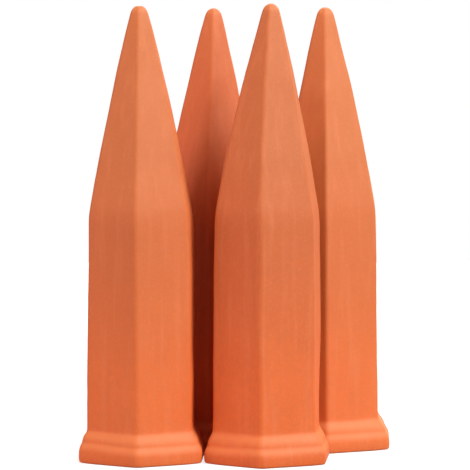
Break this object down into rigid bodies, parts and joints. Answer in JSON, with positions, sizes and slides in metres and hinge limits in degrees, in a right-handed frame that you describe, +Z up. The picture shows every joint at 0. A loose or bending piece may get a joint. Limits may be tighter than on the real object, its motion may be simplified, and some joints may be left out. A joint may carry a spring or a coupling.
{
  "type": "self watering spike",
  "caption": "Hollow fired clay watering spikes, six-sided with a pointed end and a collared round mouth that takes a bottle's neck and lets water seep into soil.",
  "frame": {"origin": "middle of the set's footprint, on the surface that the mouths stand on", "axes": "+Z up along the spikes towards their points, +X to the right and -Y towards the viewer of the set's front"},
  "size_m": [0.1238, 0.0976, 0.18],
  "materials": {
    "terracotta": "unglazed matte"
  },
  "bodies": {
    "front_left": {"spike_front_left": "terracotta"},
    "front_right": {"spike_front_right": "terracotta"},
    "rear_left": {"spike_rear_left": "terracotta"},
    "rear_right": {"spike_rear_right": "terracotta"}
  },
  "joints": [
    {"name": "lift_front_right", "type": "slide", "parent": "front_left", "child": "front_right", "axis": [0, 0, 1], "range_m": [0, 0.2]},
    {"name": "lift_rear_left", "type": "slide", "parent": "front_left", "child": "rear_left", "axis": [0, 0, 1], "range_m": [0, 0.2]},
    {"name": "lift_rear_right", "type": "slide", "parent": "front_left", "child": "rear_right", "axis": [0, 0, 1], "range_m": [0, 0.2]}
  ]
}
